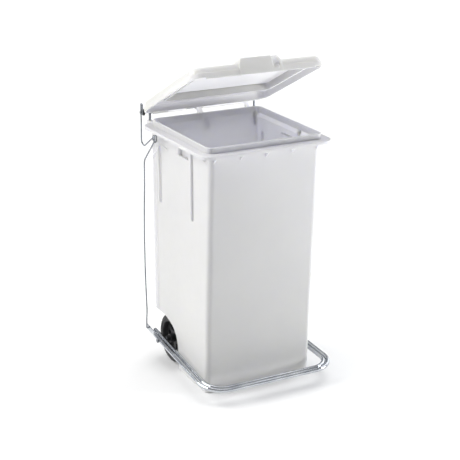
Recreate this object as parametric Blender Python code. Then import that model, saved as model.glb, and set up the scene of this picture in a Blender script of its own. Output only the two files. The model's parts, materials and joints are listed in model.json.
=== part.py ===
"""Two-wheeled square waste container with a foot pedal, a bent link rod and a hinged lid.

Metres, +Z up, floor at z = 0, front toward -Y. Rest pose: pedal pressed, lid part open.
"""
import math

import bmesh
import bpy
from mathutils import Matrix, Vector

# ---------------------------------------------------------------- dimensions
WALL = 0.0035            # moulded wall of the container
GAP = 0.0003             # clearance between neighbouring pieces
CORNER_STEPS = 6         # segments of every rounded plan corner

BASE_HALF = 0.1825       # half width of the container at the floor
TOP_HALF = 0.1848        # half width just under the rim
BASE_FRONT = -0.1570     # front wall at the floor
TOP_FRONT = -0.1965      # front wall just under the rim
REAR = 0.1990            # rear wall
BODY_CORNER = 0.017      # vertical corner radius
FLOOR_T = 0.0040         # thickness of the bottom

LIP_HALF = 0.1925        # upright mouth lip, outer half width
LIP_FRONT = -0.2003
LIP_REAR = 0.2003
LIP_TOP = 0.7950
LIP_T = 0.0040
LIP_CORNER = 0.022
FLANGE_HALF = 0.2185     # rim flange around the lip
FLANGE_FRONT = -0.2265
FLANGE_REAR = 0.2200
FLANGE_TOP = 0.7770
FLANGE_UNDER = 0.7735
FLANGE_CORNER = 0.036
FLARE_FROM = 0.7620      # wall widens from here up to the lip
SKIRT_BOTTOM = 0.7670
SKIRT_T = 0.0030

AXLE_Y = 0.1170          # wheel axle, also the pivot of the pedal frame
AXLE_Z = 0.0800
AXLE_R = 0.0060
AXLE_END_R = 0.0040      # stepped-down ends through the pedal tubes
AXLE_STEP = 0.1910
AXLE_HALF = 0.2215
WHEEL_R = 0.0800
WHEEL_IN = 0.1375        # inner and outer side of the tyre
WHEEL_OUT = 0.1775
BOSS_IN = 0.1333         # hub boss ends
BOSS_OUT = 0.1780
BOSS_R = 0.0140

WELL_IN = 0.1300         # wheel recess in the container
WELL_OUT = 0.1795
WELL_FRONT = 0.0075
WELL_TOP = 0.1720
CHANNEL_HALF = 0.1240    # open channel between the wheel recesses
CHANNEL_TOP = 0.1370
ARCH_TOP = 0.1560        # lower edge of the side wall above the wheel

TUBE_R = 0.0070          # pedal tubes
TUBE_WALL = 0.0014
TUBE_PITCH = 0.0143      # the two tubes run side by side
OUTER_X = 0.2219
OUTER_FRONT = -0.2608
BEND_R = 0.0720
PEDAL_TAPER = 0.030      # legs close in toward the rear
PEDAL_SLOPE = 0.069      # rise of the frame toward the rear
OUTER_REAR = 0.2280
INNER_REAR = 0.1900
HOOK_Y = 0.2135          # hole of the link rod in the flattened tube end

HINGE_Y = 0.2620         # lid hinge axis
HINGE_Z = 0.7990
ROD_R = 0.0040
BARREL_R = 0.0075
BARREL_LEFT = -0.1570
BARREL_RIGHT = 0.1600
LID_OPEN = math.radians(26.0)

LID_HALF = 0.2220        # lid skirt, outer
LID_REAR = 0.0510        # distances forward of the hinge axis
LID_FRONT = 0.4700
LID_LOW = -0.0120        # heights above the hinge axis, lid closed
LID_EDGE = 0.0160
LID_TOP = 0.0200
LID_CROWN = 0.0225
LID_LEAN = 0.0080
LID_CORNER = 0.0400
LID_T = 0.0030

PIN_U = 0.02937          # crank pin in the lid, forward of and above the hinge axis
PIN_W = -0.00365
WIRE_R = 0.0023          # link rod
LINK_X = -0.2080         # upper part of the link rod
LINK_LOW_X = -0.2162     # lower part, outside the tube end
EYE_R = 0.0058           # eye of the link rod over the crank pin


# ---------------------------------------------------------------- helpers
def material(name, colour, rough, metal=0.0):
    mat = bpy.data.materials.new(name)
    mat.use_nodes = True
    shader = mat.node_tree.nodes["Principled BSDF"]
    shader.inputs["Base Color"].default_value = (*colour, 1.0)
    shader.inputs["Roughness"].default_value = rough
    shader.inputs["Metallic"].default_value = metal
    return mat


def make(name, verts, faces, mat=None, origin=(0.0, 0.0, 0.0), smooth=False):
    mesh = bpy.data.meshes.new(name)
    shift = Vector(origin)
    mesh.from_pydata([Vector(v) - shift for v in verts], [], faces)
    work = bmesh.new()
    work.from_mesh(mesh)
    bmesh.ops.recalc_face_normals(work, faces=work.faces)
    work.to_mesh(mesh)
    work.free()
    obj = bpy.data.objects.new(name, mesh)
    obj.location = shift
    bpy.context.scene.collection.objects.link(obj)
    if mat:
        mesh.materials.append(mat)
    if smooth:
        mesh.shade_smooth()
    return obj


def rounded(x0, x1, y0, y1, r, z):
    """Rounded rectangle as a ring of points at height z."""
    ring = []
    corners = ((x1 - r, y1 - r, 0), (x0 + r, y1 - r, 90), (x0 + r, y0 + r, 180), (x1 - r, y0 + r, 270))
    for cx, cy, start in corners:
        for k in range(CORNER_STEPS + 1):
            a = math.radians(start + 90.0 * k / CORNER_STEPS)
            ring.append((cx + r * math.cos(a), cy + r * math.sin(a), z))
    return ring


def loft(rings, close=False):
    """Vertices and faces through rings of equal length; ends capped unless closed."""
    n = len(rings[0])
    verts = [p for ring in rings for p in ring]
    faces = []
    count = len(rings)
    for i in range(count if close else count - 1):
        a = i * n
        b = ((i + 1) % count) * n
        for k in range(n):
            m = (k + 1) % n
            faces.append((a + k, a + m, b + m, b + k))
    if not close:
        faces.append(tuple(range(n)))
        faces.append(tuple(range((count - 1) * n, count * n)))
    return verts, faces


def block(x0, x1, y0, y1, z0, z1):
    ring = [(x0, y0), (x1, y0), (x1, y1), (x0, y1)]
    return make("block", *loft([[(x, y, z) for x, y in ring] for z in (z0, z1)]))


def prism_x(points, x0, x1):
    """Polygon in the YZ plane pulled along X."""
    return make("prism", *loft([[(x, y, z) for y, z in points] for x in (x0, x1)]))


def prism_y(points, y0, y1):
    """Polygon in the XZ plane pulled along Y."""
    return make("prism", *loft([[(x, y, z) for x, z in points] for y in (y0, y1)]))


def circle_x(x, cy, cz, r, n):
    angles = [2 * math.pi * k / n for k in range(n)]
    return [(x, cy + r * math.cos(a), cz + r * math.sin(a)) for a in angles]


def rod_x(x0, x1, cy, cz, r, n=16):
    return make("rod", *loft([circle_x(x0, cy, cz, r, n), circle_x(x1, cy, cz, r, n)]))


def turned(name, profile, cy, cz, n, mat, origin, sign=1.0):
    """Closed (x, r) outline turned about an axis along X."""
    rings = [circle_x(sign * x, cy, cz, r, n) for x, r in profile]
    obj = make(name, *loft(rings, close=True), mat, origin, smooth=True)
    return obj


def combine(obj, tool, operation):
    mod = obj.modifiers.new("step", "BOOLEAN")
    mod.solver = "EXACT"
    mod.operation = operation
    mod.object = tool
    graph = bpy.context.evaluated_depsgraph_get()
    mesh = bpy.data.meshes.new_from_object(obj.evaluated_get(graph))
    obj.modifiers.clear()
    old = obj.data
    obj.data = mesh
    mesh.name = old.name
    bpy.data.meshes.remove(old)
    bpy.data.objects.remove(tool)


def join(obj, tool):
    combine(obj, tool, "UNION")


def cut(obj, tool):
    combine(obj, tool, "DIFFERENCE")


def soften(path, radius, steps=5):
    """Round the inner corners of a polyline."""
    out = [Vector(path[0])]
    for a, b, c in zip(path, path[1:], path[2:]):
        a, b, c = Vector(a), Vector(b), Vector(c)
        back, ahead = (a - b), (c - b)
        reach = min(radius, back.length * 0.45, ahead.length * 0.45)
        p, q = b + back.normalized() * reach, b + ahead.normalized() * reach
        for k in range(steps + 1):
            t = k / steps
            out.append(p * (1 - t) ** 2 + b * 2 * t * (1 - t) + q * t ** 2)
    out.append(Vector(path[-1]))
    return out


def frames(path):
    """Directions across a path that do not twist."""
    tangents = []
    for i in range(len(path)):
        ahead = path[min(i + 1, len(path) - 1)] - path[max(i - 1, 0)]
        tangents.append(ahead.normalized())
    side = tangents[0].orthogonal().normalized()
    result = []
    for i, tangent in enumerate(tangents):
        if i:
            side = tangents[i - 1].rotation_difference(tangent) @ side
        side = (side - tangent * side.dot(tangent)).normalized()
        result.append((side, tangent.cross(side)))
    return result


def wire(name, path, r, n, mat, origin):
    """Round wire along a path."""
    rings = []
    for p, (u, v) in zip(path, frames(path)):
        rings.append([p + (u * math.cos(2 * math.pi * k / n) + v * math.sin(2 * math.pi * k / n)) * r
                      for k in range(n)])
    return make(name, *loft(rings), mat, origin, smooth=True)


# ---------------------------------------------------------------- container
def container(mat):
    def body(z, inset):
        t = z / FLANGE_UNDER
        half = BASE_HALF + (TOP_HALF - BASE_HALF) * t - inset
        front = BASE_FRONT + (TOP_FRONT - BASE_FRONT) * t + inset
        return rounded(-half, half, front, REAR - inset, BODY_CORNER - inset, z)

    def rim(half, front, rear, corner, inset, z):
        return rounded(-half + inset, half - inset, front + inset, rear - inset, corner - inset, z)

    flange = (FLANGE_HALF, FLANGE_FRONT, FLANGE_REAR, FLANGE_CORNER)
    lip = (LIP_HALF, LIP_FRONT, LIP_REAR, LIP_CORNER)
    rings = [
        body(0.0, 0.0025),
        body(0.0025, 0.0),
        body(FLARE_FROM, 0.0),
        rim(*lip, 0.0, FLANGE_UNDER),
        rim(*flange, SKIRT_T, FLANGE_UNDER),
        rim(*flange, SKIRT_T, SKIRT_BOTTOM),
        rim(*flange, 0.0, SKIRT_BOTTOM),
        rim(*flange, 0.0, FLANGE_TOP - 0.0015),
        rim(*flange, 0.0015, FLANGE_TOP),
        rim(*lip, 0.0, FLANGE_TOP),
        rim(*lip, 0.0, LIP_TOP - 0.0012),
        rim(*lip, 0.0012, LIP_TOP),
        rim(*lip, LIP_T - 0.0012, LIP_TOP),
        rim(*lip, LIP_T, LIP_TOP - 0.0012),
        rim(*lip, LIP_T, FLANGE_UNDER),
        body(FLARE_FROM, WALL),
        body(FLOOR_T, WALL),
    ]
    bin_body = make("bin_body", *loft(rings), mat)

    # raised rear floor over the wheels and the axle
    join(bin_body, block(-0.1812, 0.1812, 0.0040, 0.1975, 0.0020, WELL_TOP + WALL))
    cut(bin_body, block(-0.1265, 0.1265, -0.0200, REAR - WALL, CHANNEL_TOP + WALL, 0.3000))
    for side in (-1, 1):
        edge = sorted((side * WELL_IN, side * WELL_OUT))
        cut(bin_body, block(edge[0], edge[1], WELL_FRONT, 0.2600, -0.0100, WELL_TOP))
    cut(bin_body, block(-CHANNEL_HALF, CHANNEL_HALF, WELL_FRONT, 0.2600, -0.0100, CHANNEL_TOP))
    below_axle = [(0.0300, -0.0100), (0.0300, 0.0150), (0.0950, 0.0600), (0.1400, 0.0600),
                  (0.1960, CHANNEL_TOP), (0.2600, CHANNEL_TOP), (0.2600, -0.0100)]
    cut(bin_body, prism_x(below_axle, -0.1320, 0.1320))

    # rear corner fins, then the openings beside the wheels
    for side in (-1, 1):
        edge = sorted((side * 0.1797, side * 0.1832))
        join(bin_body, block(edge[0], edge[1], 0.1900, 0.2135, 0.1300, SKIRT_BOTTOM + 0.0080))
    arch = [(0.2600, ARCH_TOP), (0.1560, 0.1550), (0.1280, 0.1525), (0.1030, 0.1460), (0.0850, 0.1380),
            (0.0700, 0.1280), (0.0570, 0.1120), (0.0490, 0.0950), (0.0440, 0.0750), (0.0410, 0.0500),
            (0.0370, 0.0200), (0.0340, -0.0100), (0.2600, -0.0100)]
    cut(bin_body, prism_x(arch, -0.2000, -0.1780))
    cut(bin_body, prism_x(arch, 0.1780, 0.2000))
    cut(bin_body, rod_x(-0.1400, 0.1400, AXLE_Y, AXLE_Z, AXLE_R + GAP, 16))

    for side in (-1, 1):
        # recessed grip under the rim
        y0, y1, z0, z1 = -0.0520, 0.0190, 0.7205, 0.7435
        edge = sorted((side * 0.1700, side * 0.1828))
        join(bin_body, block(edge[0], edge[1], y0 - WALL, y1 + WALL, z0 - WALL, z1 + WALL))
        edge = sorted((side * 0.1738, side * 0.2000))
        cut(bin_body, block(edge[0], edge[1], y0, y1, z0, z1))
        # half-round guide ribs
        for y, z_low, z_high in ((0.1550, 0.5400, 0.7150), (-0.0725, 0.5455, 0.7700)):
            join(bin_body, guide(side * 0.1840, y, z_low, z_high, 0.0075))
        # fine braces beside the rear rib
        for a, b in (((0.1570, 0.7180), (0.2080, 0.6680)), ((0.1545, 0.7235), (0.0930, 0.7190))):
            join(bin_body, brace(side, a, b))
        # rim gusset near the front corner
        join(bin_body, prism_y([(side * 0.1825, 0.7420), (side * 0.2165, 0.7745), (side * 0.1825, 0.7745)],
                               -0.1615, -0.1585))
    for x in (-0.172, -0.086, 0.0, 0.086, 0.172):
        outline = [(-0.1938, 0.7450), (-0.2245, 0.7745), (-0.1938, 0.7745)]
        join(bin_body, prism_x(outline, x - 0.0015, x + 0.0015))

    # hinge lugs behind the rim and sockets for the bent ends of the hinge rod
    lug = [(0.1960, 0.7300), (0.2500, 0.7830)]
    for k in range(9):
        a = math.radians(-140 + 290 * k / 8)
        lug.append((HINGE_Y + 0.0090 * math.cos(a), HINGE_Z + 0.0090 * math.sin(a)))
    lug += [(0.2330, 0.7810), (0.2180, 0.7752), (0.1960, 0.7752)]
    for x0, x1 in ((-0.0080, 0.0080), (0.1640, 0.1780)):
        join(bin_body, prism_x(lug, x0, x1))
    for x in (-0.1680, 0.2070):
        join(bin_body, block(x - 0.0075, x + 0.0075, 0.2060, 0.2700, 0.7645, 0.7730))
        bore = circle_x(0, 0, 0, ROD_R + GAP, 12)
        levels = [[(p[1] + x, p[2] + HINGE_Y, z) for p in bore] for z in (0.7500, 0.7850)]
        drill = make("drill", *loft(levels))
        cut(bin_body, drill)
    cut(bin_body, rod_x(-0.0150, 0.0150, HINGE_Y, HINGE_Z, ROD_R + GAP, 16))
    cut(bin_body, rod_x(0.1500, 0.1850, HINGE_Y, HINGE_Z, ROD_R + GAP, 16))
    return bin_body


def guide(x, y, z_low, z_high, r):
    """Upright half-round rib with a domed foot."""
    ring = circle_x(0, 0, 0, r, 12)
    rings = []
    for lift, scale in ((-1.0, 0.10), (-0.80, 0.60), (-0.45, 0.89), (0.0, 1.0)):
        rings.append([(x + p[1] * scale, y + p[2] * scale, z_low + r * lift) for p in ring])
    rings.append([(x + p[1], y + p[2], z_high) for p in ring])
    rings.append([(x + p[1] * 0.6, y + p[2] * 0.6, z_high + r * 0.7) for p in circle_x(0, 0, 0, r, 12)])
    return make("guide", *loft(rings))


def brace(side, a, b):
    """Fine raised bar on the side wall from a to b in the YZ plane."""
    a, b = Vector(a), Vector(b)
    across = Vector((-(b - a).y, (b - a).x)).normalized() * 0.0013
    points = [a + across, b + across, b - across, a - across]
    edge = sorted((side * 0.1825, side * 0.1868))
    return prism_x([tuple(p) for p in points], edge[0], edge[1])


# ---------------------------------------------------------------- lid
def lid(mat):
    """Lid modelled closed about its hinge axis, then swung open."""
    def ring(inset, w):
        return rounded(-LID_HALF + inset, LID_HALF - inset, -LID_FRONT + inset, -LID_REAR - inset,
                       max(LID_CORNER - inset, 0.008), w)

    outside = [ring(0.0, LID_LOW), ring(0.0008, 0.0010), ring(0.0035, 0.0030),
               ring(LID_LEAN * 0.8, LID_EDGE - 0.005), ring(LID_LEAN + 0.0012, LID_EDGE),
               ring(LID_LEAN + 0.006, LID_TOP), ring(0.060, LID_CROWN)]
    inside = [ring(0.064, LID_CROWN - LID_T), ring(LID_LEAN + 0.010, LID_TOP - LID_T),
              ring(LID_LEAN + 0.002, LID_EDGE - 0.007), ring(0.0070, LID_LOW + 0.006),
              ring(0.0065, LID_LOW)]
    n = len(outside[0])
    verts, faces = loft(outside + inside, close=True)
    crown = len(outside) - 1
    faces = [f for f in faces if not (crown * n <= min(f) and max(f) < (crown + 2) * n)]
    faces.append(tuple(range(crown * n, (crown + 1) * n)))
    faces.append(tuple(range((crown + 1) * n, (crown + 2) * n)))
    cover = make("lid", verts, faces, mat)

    # deeper front skirt
    join(cover, block(-0.1800, 0.1800, -0.4698, -0.4668, -0.0170, -0.0090))
    # inner rib over the mouth
    outer, inner = (0.1870, 0.1500, 0.4450, 0.0200), (0.1810, 0.1560, 0.4390, 0.0150)
    sections = []
    for (half, rear, front, r), w in ((outer, 0.0185), (outer, -0.0030), (inner, -0.0030), (inner, 0.0185)):
        sections.append(rounded(-half, half, -front, -rear, r, w))
    join(cover, make("rib", *loft(sections, close=True)))

    # grip over the front edge, hollow below, with a slot near its right end
    def shell(name, levels):
        rings = []
        for half, front, rear, w in levels:
            rings.append([(-half, -front, w), (half, -front, w), (half, -rear, w), (-half, -rear, w)])
        return make(name, *loft(rings))

    join(cover, shell("hood", [(0.0700, 0.4735, 0.4650, -0.0175), (0.0700, 0.4723, 0.4640, 0.0010),
                               (0.0700, 0.4718, 0.4500, 0.0080), (0.0690, 0.4700, 0.3900, 0.0165),
                               (0.0580, 0.4650, 0.4150, 0.0345)]))
    cut(cover, shell("hollow", [(0.0665, 0.4702, 0.4490, -0.0250), (0.0665, 0.4686, 0.4490, 0.0080),
                                (0.0655, 0.4668, 0.4000, 0.0150), (0.0550, 0.4620, 0.4180, 0.0315)]))
    slot = [(0.0400, 0.0400), (0.0385, 0.0000), (0.0400, -0.0055), (0.0445, -0.0080), (0.0560, -0.0080),
            (0.0605, -0.0055), (0.0620, 0.0000), (0.0560, 0.0400)]
    cut(cover, prism_y(slot, -0.4800, -0.4560))

    # hinge plate, barrel and the sleeve of the crank pin
    join(cover, block(BARREL_LEFT, BARREL_RIGHT, -0.0545, -0.0010, -BARREL_R, -BARREL_R + LID_T))
    join(cover, rod_x(BARREL_LEFT, BARREL_RIGHT, 0.0, 0.0, BARREL_R, 16))
    join(cover, rod_x(-0.1680, -0.1200, -PIN_U, PIN_W, 0.0080, 16))
    cut(cover, block(-0.0520, 0.0100, -0.0300, 0.0200, -0.0200, 0.0200))
    cut(cover, rod_x(-0.1800, 0.1800, 0.0, 0.0, ROD_R + GAP, 16))
    cut(cover, rod_x(-0.1800, -0.1295, -PIN_U, PIN_W, ROD_R + GAP, 16))
    cover.data.transform(Matrix.Rotation(-LID_OPEN, 4, "X"))
    cover.location = (0.0, HINGE_Y, HINGE_Z)
    return cover


def pin_centre():
    y = HINGE_Y - PIN_U * math.cos(LID_OPEN) + PIN_W * math.sin(LID_OPEN)
    z = HINGE_Z + PIN_U * math.sin(LID_OPEN) + PIN_W * math.cos(LID_OPEN)
    return y, z


def lid_hardware(steel, black):
    y, z = pin_centre()
    hinge = (0.0, HINGE_Y, HINGE_Z)
    pin = [(-0.2135, 0.0025), (-0.2052, 0.0025), (-0.2052, ROD_R), (-0.1300, ROD_R)]
    rings = [circle_x(x, y, z, r, 16) for x, r in pin]
    make("lid_crank_pin", *loft(rings), steel, hinge, smooth=False)
    bore = ROD_R + GAP
    turned("crank_bush", [(-0.2050, 0.0100), (-0.2003, 0.0100), (-0.2003, bore), (-0.2050, bore)],
           y, z, 24, black, hinge)
    turned("crank_pin_clip", [(-0.2128, 0.0055), (-0.2110, 0.0055), (-0.2110, 0.0028), (-0.2128, 0.0028)],
           y, z, 16, steel, hinge)
    path = soften([(-0.1680, HINGE_Y, 0.7600), (-0.1680, HINGE_Y, HINGE_Z), (0.1830, HINGE_Y, HINGE_Z),
                   (0.1980, HINGE_Y, HINGE_Z + 0.0110), (0.2070, HINGE_Y, HINGE_Z + 0.0080),
                   (0.2070, HINGE_Y, 0.7600)], 0.0060, 4)
    wire("hinge_rod", path, ROD_R, 12, steel, hinge)


# ---------------------------------------------------------------- pedal
def frame_height(y):
    return AXLE_Z + PEDAL_SLOPE * (y - AXLE_Y)


def u_path(half, front, radius, rear, stations):
    """U-shaped centre line from the left rear end round the front to the right rear end."""
    start = front + radius
    left = [(-(half - PEDAL_TAPER * (y - start)), y) for y in stations if y <= rear]
    left.sort(key=lambda p: -p[1])
    bend = []
    for k in range(9):
        a = math.radians(180 + 90 * k / 8)
        bend.append((-half + radius + radius * math.cos(a), start + radius * math.sin(a)))
    half_path = left + bend
    plan = half_path + [(-x, y) for x, y in reversed(half_path)]
    return [Vector((x, y, frame_height(y))) for x, y in plan]


def pedal_tube(name, path, mat, origin, flat_from=None, flat_to=None):
    """Thin tube along a path; rear ends pressed flat between two stations if given."""
    n = 14
    outer, inner = [], []
    for i, p in enumerate(path):
        ahead = (path[min(i + 1, len(path) - 1)] - path[max(i - 1, 0)]).normalized()
        across = ahead.cross(Vector((0, 0, 1))).normalized()
        up = across.cross(ahead)
        squeeze = 0.0
        if flat_from is not None:
            squeeze = min(max((p.y - flat_from) / (flat_to - flat_from), 0.0), 1.0)
        half_w = TUBE_R + (0.0020 - TUBE_R) * squeeze
        half_h = TUBE_R + (0.0098 - TUBE_R) * squeeze
        bore_w = (TUBE_R - TUBE_WALL) + (0.0005 - TUBE_R + TUBE_WALL) * squeeze
        bore_h = (TUBE_R - TUBE_WALL) + (0.0084 - TUBE_R + TUBE_WALL) * squeeze
        for rings, w, h in ((outer, half_w, half_h), (inner, bore_w, bore_h)):
            turns = [2 * math.pi * k / n for k in range(n)]
            rings.append([p + across * (w * math.cos(a)) + up * (h * math.sin(a)) for a in turns])
    verts, faces = loft(outer + inner[::-1], close=True)
    return make(name, verts, faces, mat, origin, smooth=True)


def pedal(chrome, black):
    origin = (0.0, AXLE_Y, AXLE_Z)
    outer_path = u_path(OUTER_X, OUTER_FRONT, BEND_R, OUTER_REAR,
                        [OUTER_REAR, 0.2000, 0.1760, 0.1690, 0.1610, 0.1540, 0.0700, -0.0600])
    outer = pedal_tube("pedal_tube_outer", outer_path, chrome, origin, 0.1540, 0.1760)
    inner_path = u_path(OUTER_X - TUBE_PITCH, OUTER_FRONT + TUBE_PITCH, BEND_R - TUBE_PITCH, INNER_REAR,
                        [INNER_REAR, 0.0700, -0.0600])
    inner = pedal_tube("pedal_tube_inner", inner_path, chrome, origin)
    for tube in (outer, inner):
        cut(tube, rod_x(-0.2600, 0.2600, AXLE_Y, AXLE_Z, AXLE_END_R + GAP, 16))
    cut(outer, rod_x(-0.2600, -0.2000, HOOK_Y, frame_height(HOOK_Y), WIRE_R + GAP, 12))
    for tube in (outer, inner):
        tube.data.shade_smooth()
    for label, side in (("left", -1), ("right", 1)):
        start, end = inner_path[0].copy(), inner_path[1].copy()
        along = (start - end).normalized()
        start.x = side * abs(start.x)
        along.x = side * -abs(along.x)
        rings = []
        steps = ((-0.0080, 0.0050), (-0.0005, 0.0053), (0.0003, 0.0053), (0.0003, 0.0067), (0.0024, 0.0060))
        for reach, r in steps:
            centre = start + along * reach
            up = Vector((1, 0, 0)).cross(along)
            rings.append([centre + Vector((1, 0, 0)) * (r * math.cos(2 * math.pi * k / 14))
                          + up * (r * math.sin(2 * math.pi * k / 14)) for k in range(14)])
        make("tube_plug_" + label, *loft(rings), black, origin, smooth=True)


# ---------------------------------------------------------------- link rod
def link(steel, black):
    hook_z = frame_height(HOOK_Y)
    origin = (0.0, HOOK_Y, hook_z)
    y_pin, z_pin = pin_centre()
    r_coil, coil_y, coil_z = 0.0105, 0.1400, 0.7455
    near, far = -0.2128, -0.2034
    lower = [(-0.2035, HOOK_Y, hook_z), (LINK_LOW_X, HOOK_Y, hook_z), (LINK_LOW_X, HOOK_Y, 0.1150),
             (-0.2140, 0.2135, 0.1500), (-0.2167, 0.2135, 0.2550), (-0.2177, 0.2135, 0.3940),
             (-0.2156, 0.2137, 0.4950), (-0.2130, 0.2133, 0.5780), (near, 0.2110, 0.6600)]
    coil = []
    steps = 24
    for k in range(steps + 1):
        a = math.radians(226 - 530 * k / steps)
        x = near + (far - near) * k / steps
        coil.append((x, coil_y + r_coil * math.cos(a), coil_z + r_coil * math.sin(a)))
    # upper part: back to the rear, straight up and over the crank pin
    eye_y = y_pin - 0.0006
    rise_y = eye_y + EYE_R
    back = [(far - 0.0005, 0.2290, 0.7010), (LINK_X, rise_y + 0.0020, 0.7120), (LINK_X, rise_y, 0.7680),
            (LINK_X, rise_y, z_pin + 0.0230)]
    hook = soften(lower[:3], 0.0036, 4)
    path = hook[:-1] + soften([hook[-2]] + lower[2:] + [coil[0]], 0.0110, 3)[1:-1]
    path += [Vector(p) for p in coil]
    path += soften([coil[-1]] + back, 0.0080, 4)[1:]
    for k in range(1, 7):
        a = math.radians(180 * k / 6)
        path.append(Vector((LINK_X, eye_y + EYE_R * math.cos(a), z_pin + 0.0230 + EYE_R * math.sin(a))))
    low = z_pin + 0.0002
    for k in range(0, 6):
        a = math.radians(180 + 92 * k / 5)
        path.append(Vector((LINK_X, eye_y + EYE_R * math.cos(a), low + EYE_R * math.sin(a))))
    wire("link_rod", path, WIRE_R, 8, steel, origin)
    turned("link_rod_clip", [(-0.2072, 0.0055), (-0.2056, 0.0055), (-0.2056, 0.0026), (-0.2072, 0.0026)],
           HOOK_Y, hook_z, 16, black, origin)


# ---------------------------------------------------------------- wheels
def wheels(rubber, black, steel):
    origin = (0.0, AXLE_Y, AXLE_Z)
    steps = [(-AXLE_HALF, AXLE_END_R), (-AXLE_STEP, AXLE_END_R), (-AXLE_STEP, AXLE_R),
             (AXLE_STEP, AXLE_R), (AXLE_STEP, AXLE_END_R), (AXLE_HALF, AXLE_END_R)]
    make("wheel_axle", *loft([circle_x(x, AXLE_Y, AXLE_Z, r, 16) for x, r in steps]), steel, origin)
    bore = AXLE_R + GAP
    rim_r = 0.0620
    shoulder = 0.0725
    tread = [(WHEEL_IN, rim_r), (WHEEL_IN, shoulder), (WHEEL_IN + 0.0040, 0.0778),
             (WHEEL_IN + 0.0120, WHEEL_R), (WHEEL_OUT - 0.0120, WHEEL_R),
             (WHEEL_OUT - 0.0040, 0.0778), (WHEEL_OUT, shoulder), (WHEEL_OUT, rim_r)]
    web_in, web_out = 0.1530, 0.1600
    rim_in, rim_out = WHEEL_IN + 0.0010, WHEEL_OUT - 0.0010
    hub = [(BOSS_IN, bore), (BOSS_IN, BOSS_R), (web_in, BOSS_R + 0.001), (web_in, 0.0540),
           (rim_in, 0.0565), (rim_in, rim_r - GAP), (rim_out, rim_r - GAP), (rim_out, 0.0565),
           (web_out, 0.0540), (web_out, BOSS_R + 0.001), (BOSS_OUT, BOSS_R), (BOSS_OUT, bore)]
    for label, side in (("left", -1.0), ("right", 1.0)):
        place = (side * (WHEEL_IN + WHEEL_OUT) / 2, AXLE_Y, AXLE_Z)
        turned("wheel_tyre_" + label, tread, AXLE_Y, AXLE_Z, 40, rubber, place, side)
        wheel = turned("wheel_hub_" + label, hub, AXLE_Y, AXLE_Z, 40, black, place, side)
        # six windows leave six spokes
        for k in range(6):
            outline = []
            for r, spread in ((0.0220, 11), (0.0480, 21)):
                arc = [(r, -spread), (r, spread)] if r < 0.03 else [(r, spread), (r, 0), (r, -spread)]
                outline += arc
            window = []
            for r, degrees in outline:
                a = math.radians(60 * k + degrees)
                window.append((AXLE_Y + r * math.cos(a), AXLE_Z + r * math.sin(a)))
            edge = sorted((side * 0.1500, side * 0.1630))
            cut(wheel, prism_x(window, edge[0], edge[1]))
        turned("axle_washer_" + label, [(0.1303, 0.0110), (0.1330, 0.0110), (0.1330, bore), (0.1303, bore)],
               AXLE_Y, AXLE_Z, 20, steel, origin, side)
        turned("axle_spacer_" + label, [(0.1783, 0.0100), (0.1908, 0.0100), (0.1908, bore), (0.1783, bore)],
               AXLE_Y, AXLE_Z, 20, black, origin, side)
        grip = AXLE_END_R + GAP
        cap = [(0.2200, grip), (0.2200, 0.0072), (0.2230, 0.0072), (0.2243, 0.0055), (0.2243, 0.0004),
               (0.2218, 0.0004), (0.2218, grip)]
        end = make("axle_cap_" + label, *cap_mesh(cap, side), steel, origin, smooth=False)
        end.data.shade_smooth()


def cap_mesh(profile, side):
    """Domed push cap: the turned outline closed on the axis."""
    n = 20
    outer = [circle_x(side * x, AXLE_Y, AXLE_Z, r, n) for x, r in profile[:5]]
    inner = [circle_x(side * x, AXLE_Y, AXLE_Z, r, n) for x, r in profile[5:]]
    rings = [inner[0], inner[1]] + outer
    return loft(rings)


# ---------------------------------------------------------------- assembly
for old in list(bpy.data.objects):
    bpy.data.objects.remove(old)

shell_white = material("shell_white", (0.83, 0.83, 0.82), 0.42)
lid_white = material("lid_white", (0.83, 0.83, 0.80), 0.40)
chrome_steel = material("chrome_steel", (0.78, 0.79, 0.81), 0.14, 1.0)
zinc_steel = material("zinc_steel", (0.55, 0.56, 0.58), 0.30, 1.0)
black_plastic = material("black_plastic", (0.02, 0.02, 0.022), 0.50)
wheel_rubber = material("wheel_rubber", (0.028, 0.028, 0.030), 0.75)

container(shell_white)
lid(lid_white)
lid_hardware(zinc_steel, black_plastic)
pedal(chrome_steel, black_plastic)
link(zinc_steel, black_plastic)
wheels(wheel_rubber, black_plastic, zinc_steel)
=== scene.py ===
import json
import math

import bpy
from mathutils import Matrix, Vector

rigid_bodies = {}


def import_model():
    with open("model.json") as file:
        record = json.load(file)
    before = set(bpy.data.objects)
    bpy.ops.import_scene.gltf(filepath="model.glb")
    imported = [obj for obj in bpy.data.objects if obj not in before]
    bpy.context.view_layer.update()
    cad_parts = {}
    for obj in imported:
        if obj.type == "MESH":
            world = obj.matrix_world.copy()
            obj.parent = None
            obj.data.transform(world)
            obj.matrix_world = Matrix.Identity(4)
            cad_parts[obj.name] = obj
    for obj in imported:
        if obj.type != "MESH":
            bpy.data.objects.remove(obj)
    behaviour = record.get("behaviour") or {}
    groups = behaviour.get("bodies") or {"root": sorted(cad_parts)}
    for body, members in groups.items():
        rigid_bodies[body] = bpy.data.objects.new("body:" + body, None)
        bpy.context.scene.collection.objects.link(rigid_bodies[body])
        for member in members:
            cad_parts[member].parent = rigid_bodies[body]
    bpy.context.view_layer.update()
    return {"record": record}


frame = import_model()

# sizes in metres
EDGE_RADIUS = 0.0016     # moulded edges of body and lid
SMALL_RADIUS = 0.0014    # hubs, clips and wire
TUBE_RADIUS = 0.0026     # smooths the facets of the pedal tubes
TYRE_RADIUS = 0.0022
FLOOR_HALF = 30.0
FLOOR_GAP = 0.0004       # floor lies this far under the part


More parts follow.
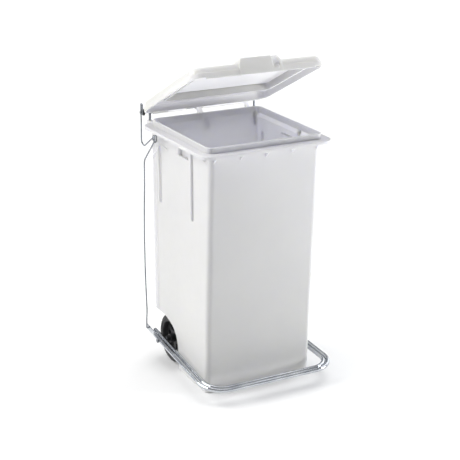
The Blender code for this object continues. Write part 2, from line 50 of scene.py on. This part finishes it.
# ---------------------------------------------------------------- materials
class Nodes:
    """Short helper round one material's node tree."""

    def __init__(self, name, colour, rough, metal=0.0):
        self.mat = bpy.data.materials.new(name)
        self.mat.use_nodes = True
        self.tree = self.mat.node_tree
        self.shader = self.tree.nodes["Principled BSDF"]
        self.shader.inputs["Base Color"].default_value = (*colour, 1.0)
        self.shader.inputs["Roughness"].default_value = rough
        self.shader.inputs["Metallic"].default_value = metal
        self.place = self.tree.nodes.new("ShaderNodeTexCoord").outputs["Object"]

    def noise(self, scale, detail=4.0, rough=0.55, stretch=None):
        node = self.tree.nodes.new("ShaderNodeTexNoise")
        node.inputs["Scale"].default_value = scale
        node.inputs["Detail"].default_value = detail
        node.inputs["Roughness"].default_value = rough
        source = self.place
        if stretch:
            mapping = self.tree.nodes.new("ShaderNodeMapping")
            mapping.inputs["Scale"].default_value = stretch
            self.tree.links.new(source, mapping.inputs["Vector"])
            source = mapping.outputs["Vector"]
        self.tree.links.new(source, node.inputs["Vector"])
        return node.outputs["Fac"]

    def ramp(self, source, stops):
        node = self.tree.nodes.new("ShaderNodeValToRGB")
        node.color_ramp.elements[0].position = stops[0][0]
        node.color_ramp.elements[0].color = (*stops[0][1], 1.0)
        node.color_ramp.elements[1].position = stops[-1][0]
        node.color_ramp.elements[1].color = (*stops[-1][1], 1.0)
        for position, colour in stops[1:-1]:
            element = node.color_ramp.elements.new(position)
            element.color = (*colour, 1.0)
        self.tree.links.new(source, node.inputs["Fac"])
        return node.outputs["Color"]

    def span(self, source, low, high, a=0.3, b=0.7):
        node = self.tree.nodes.new("ShaderNodeMapRange")
        node.inputs["From Min"].default_value = a
        node.inputs["From Max"].default_value = b
        node.inputs["To Min"].default_value = low
        node.inputs["To Max"].default_value = high
        self.tree.links.new(source, node.inputs["Value"])
        return node.outputs["Result"]

    def bump(self, source, height, strength=1.0):
        node = self.tree.nodes.new("ShaderNodeBump")
        node.inputs["Distance"].default_value = height
        node.inputs["Strength"].default_value = strength
        self.tree.links.new(source, node.inputs["Height"])
        previous = self.shader.inputs["Normal"].links
        if previous:
            self.tree.links.new(previous[0].from_socket, node.inputs["Normal"])
        self.tree.links.new(node.outputs["Normal"], self.shader.inputs["Normal"])

    def soften(self, radius):
        """Rounds the shading over edges and facets, as a small moulded or drawn radius does."""
        node = self.tree.nodes.new("ShaderNodeBevel")
        node.samples = 6
        node.inputs["Radius"].default_value = radius
        self.tree.links.new(node.outputs["Normal"], self.shader.inputs["Normal"])

    def facing(self, axis_scale):
        """1 where the surface turns toward the upright axis through the origin, else 0."""
        geometry = self.tree.nodes.new("ShaderNodeNewGeometry")
        flat = self.tree.nodes.new("ShaderNodeVectorMath")
        flat.operation = "MULTIPLY"
        flat.inputs[1].default_value = axis_scale
        self.tree.links.new(geometry.outputs["Position"], flat.inputs[0])
        dot = self.tree.nodes.new("ShaderNodeVectorMath")
        dot.operation = "DOT_PRODUCT"
        self.tree.links.new(geometry.outputs["Normal"], dot.inputs[0])
        self.tree.links.new(flat.outputs["Vector"], dot.inputs[1])
        return self.span(dot.outputs["Value"], 1.0, 0.0, -0.02, 0.0)

    def along(self, direction):
        """1 where the surface faces the given direction, else 0."""
        geometry = self.tree.nodes.new("ShaderNodeNewGeometry")
        dot = self.tree.nodes.new("ShaderNodeVectorMath")
        dot.operation = "DOT_PRODUCT"
        dot.inputs[1].default_value = direction
        self.tree.links.new(geometry.outputs["Normal"], dot.inputs[0])
        return self.span(dot.outputs["Value"], 0.0, 1.0, 0.1, 0.5)

    def mix(self, factor, a, b):
        node = self.tree.nodes.new("ShaderNodeMix")
        node.data_type = "RGBA"
        self.tree.links.new(factor, node.inputs["Factor"])
        for value, key in ((a, 6), (b, 7)):
            if isinstance(value, tuple):
                node.inputs[key].default_value = (*value, 1.0)
            else:
                self.tree.links.new(value, node.inputs[key])
        return node.outputs[2]

    def drive(self, socket, source):
        self.tree.links.new(source, self.shader.inputs[socket])


def moulded(name, colour, shade, rough, depth, painted_light_colour, painted_light_mask):
    """Satin moulded plastic: faint mottling, sink marks and a fine spark-eroded grain, with painted
    light on the masked faces.
    """
    m = Nodes(name, colour, rough)
    outside = m.ramp(m.noise(5.0, 3.0), [(0.30, shade), (0.68, colour)])
    # painted light: faces picked by the mask get the lighter colour in place of light reaching them
    m.drive("Base Color", m.mix(painted_light_mask(m), outside, painted_light_colour))
    m.drive("Roughness", m.span(m.noise(38.0, 5.0), rough - 0.06, rough + 0.07))
    m.soften(EDGE_RADIUS)
    m.bump(m.noise(3.2, 2.0), 0.0011, 0.55)
    m.bump(m.noise(2600.0, 3.0), 0.00006, 0.45)
    m.shader.inputs["Specular IOR Level"].default_value = 0.45
    m.shader.inputs["Subsurface Weight"].default_value = 0.95
    m.shader.inputs["Subsurface Radius"].default_value = (1.0, 1.0, 1.2)
    m.shader.inputs["Subsurface Scale"].default_value = depth
    return m.mat


def shell_white():
    """Container body, with painted light: the walls that face its own inside are painted brighter and
    bluer.
    """
    in_plan = (1.0, 1.0, 0.0)
    # painted light: the last colour is a brighter, bluish white painted on the inside walls in place
    # of the light they catch
    return moulded("shell_white", (0.640, 0.637, 0.640), (0.616, 0.614, 0.620), 0.40, 0.010,
                   (0.90, 0.895, 0.935), lambda m: m.facing(in_plan))


def lid_white():
    """Lid, a little creamier, with painted light: its underside is painted brighter."""
    downward = (0.0, 0.438, -0.899)
    # painted light: the last colour is a brighter white painted on the underside in place of light
    # reaching it
    return moulded("lid_white", (0.68, 0.673, 0.650), (0.66, 0.653, 0.630), 0.36, 0.020,
                   (0.92, 0.92, 0.930), lambda m: m.along(downward))


def chrome_steel():
    """Plated tube with fine drawing marks."""
    m = Nodes("chrome_steel", (0.80, 0.81, 0.83), 0.12, 1.0)
    shades = [(0.32, (0.44, 0.46, 0.50)), (0.60, (0.60, 0.62, 0.65))]
    m.drive("Roughness", m.span(m.noise(55.0, 6.0, 0.6, (1.0, 0.12, 1.0)), 0.07, 0.20))
    m.drive("Base Color", m.ramp(m.noise(22.0, 5.0), shades))
    m.soften(TUBE_RADIUS)
    m.bump(m.noise(420.0, 4.0, 0.6, (1.0, 0.08, 1.0)), 0.00005, 0.4)
    return m.mat


def zinc_steel():
    """Duller galvanised wire and rods, patchy grey."""
    m = Nodes("zinc_steel", (0.50, 0.52, 0.55), 0.30, 1.0)
    shades = [(0.30, (0.16, 0.17, 0.19)), (0.65, (0.30, 0.32, 0.35))]
    m.drive("Roughness", m.span(m.noise(80.0, 6.0), 0.22, 0.40))
    m.drive("Base Color", m.ramp(m.noise(34.0, 6.0), shades))
    m.soften(SMALL_RADIUS)
    m.bump(m.noise(700.0, 4.0), 0.00008, 0.4)
    return m.mat


def black_plastic():
    """Moulded black hubs, bush and plugs."""
    m = Nodes("black_plastic", (0.020, 0.020, 0.022), 0.45)
    shades = [(0.3, (0.013, 0.013, 0.015)), (0.7, (0.030, 0.030, 0.033))]
    m.drive("Roughness", m.span(m.noise(60.0, 5.0), 0.38, 0.56))
    m.drive("Base Color", m.ramp(m.noise(18.0, 4.0), shades))
    m.soften(SMALL_RADIUS)
    m.bump(m.noise(1800.0, 3.0), 0.00008, 0.5)
    return m.mat


def wheel_rubber():
    """Tyres: dusty, matt black."""
    m = Nodes("wheel_rubber", (0.028, 0.028, 0.030), 0.72)
    shades = [(0.32, (0.018, 0.018, 0.020)), (0.7, (0.045, 0.045, 0.046))]
    m.drive("Roughness", m.span(m.noise(90.0, 5.0), 0.60, 0.85))
    m.drive("Base Color", m.ramp(m.noise(26.0, 6.0), shades))
    m.soften(TYRE_RADIUS)
    m.bump(m.noise(900.0, 4.0), 0.00014, 0.6)
    return m.mat


def floor_white():
    """Pale matt floor."""
    m = Nodes("floor_white", (0.92, 0.92, 0.92), 0.9)
    shades = [(0.3, (0.915, 0.915, 0.917)), (0.7, (0.925, 0.925, 0.925))]
    m.drive("Base Color", m.ramp(m.noise(2.0, 2.0), shades))
    m.shader.inputs["Specular IOR Level"].default_value = 0.0
    return m.mat


finish = {"shell_white": shell_white(), "lid_white": lid_white(), "chrome_steel": chrome_steel(),
          "zinc_steel": zinc_steel(), "black_plastic": black_plastic(), "wheel_rubber": wheel_rubber()}
for part in frame["record"]["subparts"]:
    obj = bpy.data.objects[part["node"]]
    obj.data.materials.clear()
    obj.data.materials.append(finish[part["material_slot"]])


# ---------------------------------------------------------------- stage
def floor_plane():
    mesh = bpy.data.meshes.new("floor")
    h = FLOOR_HALF
    mesh.from_pydata([(-h, -h, 0), (h, -h, 0), (h, h, 0), (-h, h, 0)], [], [(0, 1, 2, 3)])
    mesh.materials.append(floor_white())
    obj = bpy.data.objects.new("floor", mesh)
    obj.location.z = -FLOOR_GAP
    bpy.context.scene.collection.objects.link(obj)
    return obj


def studio_sky(strength, stops, dark_side, dark_level):
    """World light: a gradient in height, dimmed toward one side."""
    world = bpy.data.worlds.new("studio")
    bpy.context.scene.world = world
    world.use_nodes = True
    tree = world.node_tree
    sky = tree.nodes["Background"]
    sky.inputs["Strength"].default_value = strength
    coordinates = tree.nodes.new("ShaderNodeTexCoord")
    split = tree.nodes.new("ShaderNodeSeparateXYZ")
    tree.links.new(coordinates.outputs["Generated"], split.inputs[0])
    gradient = tree.nodes.new("ShaderNodeValToRGB")
    for element, (position, colour) in zip(gradient.color_ramp.elements, (stops[0], stops[-1])):
        element.position = position
        element.color = (*colour, 1.0)
    for position, colour in stops[1:-1]:
        gradient.color_ramp.elements.new(position).color = (*colour, 1.0)
    tree.links.new(split.outputs["Z"], gradient.inputs["Fac"])

    toward = tree.nodes.new("ShaderNodeVectorMath")
    toward.operation = "DOT_PRODUCT"
    toward.inputs[1].default_value = dark_side
    tree.links.new(coordinates.outputs["Generated"], toward.inputs[0])
    fade = tree.nodes.new("ShaderNodeMapRange")
    fade.interpolation_type = "SMOOTHSTEP"
    fade.inputs["From Min"].default_value = 0.35
    fade.inputs["From Max"].default_value = 0.92
    fade.inputs["To Min"].default_value = 1.0
    fade.inputs["To Max"].default_value = dark_level
    tree.links.new(toward.outputs["Value"], fade.inputs["Value"])
    dim = tree.nodes.new("ShaderNodeVectorMath")
    dim.operation = "SCALE"
    tree.links.new(gradient.outputs["Color"], dim.inputs[0])
    tree.links.new(fade.outputs["Result"], dim.inputs["Scale"])
    tree.links.new(dim.outputs["Vector"], sky.inputs["Color"])


def sun(name, toward, energy, spread, colour=(1.0, 1.0, 1.0)):
    data = bpy.data.lights.new(name, "SUN")
    data.energy = energy
    data.angle = math.radians(spread)
    data.color = colour
    obj = bpy.data.objects.new(name, data)
    obj.rotation_euler = (-Vector(toward)).to_track_quat("-Z", "Y").to_euler()
    bpy.context.scene.collection.objects.link(obj)


def soft_box(name, place, target, size, energy, colour):
    data = bpy.data.lights.new(name, "AREA")
    data.energy = energy
    data.shape = "RECTANGLE"
    data.size, data.size_y = size
    data.color = colour
    obj = bpy.data.objects.new(name, data)
    obj.location = place
    obj.rotation_euler = (Vector(target) - obj.location).to_track_quat("-Z", "Y").to_euler()
    bpy.context.scene.collection.objects.link(obj)


def add_camera(place, direction, lens):
    data = bpy.data.cameras.new("camera")
    data.lens = lens
    data.sensor_width = 36.0
    data.clip_end = 100.0
    obj = bpy.data.objects.new("camera", data)
    obj.location = place
    obj.rotation_euler = Vector(direction).to_track_quat("-Z", "Y").to_euler()
    bpy.context.scene.collection.objects.link(obj)
    bpy.context.scene.camera = obj


floor = floor_plane()

# sine of the height above the horizon, with the light there: dim at the horizon, white overhead
SKY = [(0.0, (0.22, 0.24, 0.28)), (0.16, (0.30, 0.33, 0.38)), (0.34, (0.80, 0.86, 0.96)),
       (0.60, (1.0, 1.0, 1.0)), (1.0, (1.0, 1.0, 1.0))]
FRONT_LEFT = (-0.707, -0.707, 0.0)
studio_sky(0.43, SKY, FRONT_LEFT, 0.15)

sun("key_left", (-0.90, 0.50, 0.60), 2.80, 50, (1.0, 0.995, 0.98))
soft_box("fill_right", (1.35, -0.95, 0.52), (0.0, -0.15, 0.38), (0.25, 0.45), 14.0, (0.97, 0.985, 1.0))
sun("top", (0.10, 0.05, 1.0), 0.95, 45)
sun("side_right", (0.85, 0.30, 0.45), 0.85, 50)

add_camera((-1.7514, -3.3287, 1.7539), (0.4366, 0.8387, -0.3256), 99.36)
bpy.context.scene.view_settings.view_transform = "Standard"
